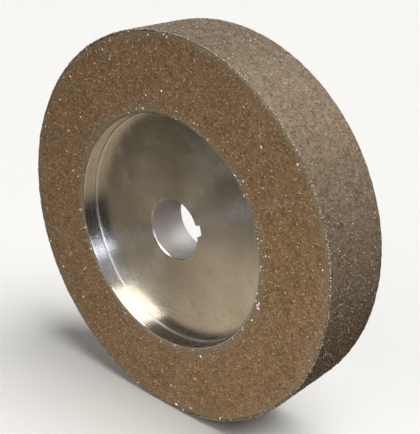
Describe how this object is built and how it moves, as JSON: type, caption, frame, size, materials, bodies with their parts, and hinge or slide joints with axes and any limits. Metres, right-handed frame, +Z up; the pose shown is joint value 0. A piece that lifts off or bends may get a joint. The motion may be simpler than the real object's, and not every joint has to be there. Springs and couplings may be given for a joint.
{
  "type": "diamond grinding wheel",
  "caption": "Thick disc grinding wheel: turned metal core with a keyed centre bore and recessed sides, coated with coarse plated diamond on its front face and rim.",
  "frame": {"origin": "the wheel's centre: on the spin axis, halfway across its width", "axes": "+Y along the spin axis towards the machine side, so the front face looks along -Y; +Z up; the keyway is 12 degrees above +X"},
  "size_m": [0.2032, 0.0412, 0.2032],
  "materials": {
    "turned_metal": "fine turned metal, concentric tool marks, glossy on the web",
    "plated_diamond_face": "golden brown plated bond, rough with coarse diamond grit that sparkles",
    "plated_diamond_rim": "grey brown plated bond, rough with coarse diamond grit that sparkles"
  },
  "bodies": {
    "root": {"wheel_core": "turned_metal", "face_abrasive": "plated_diamond_face", "rim_abrasive": "plated_diamond_rim"}
  },
  "joints": []
}
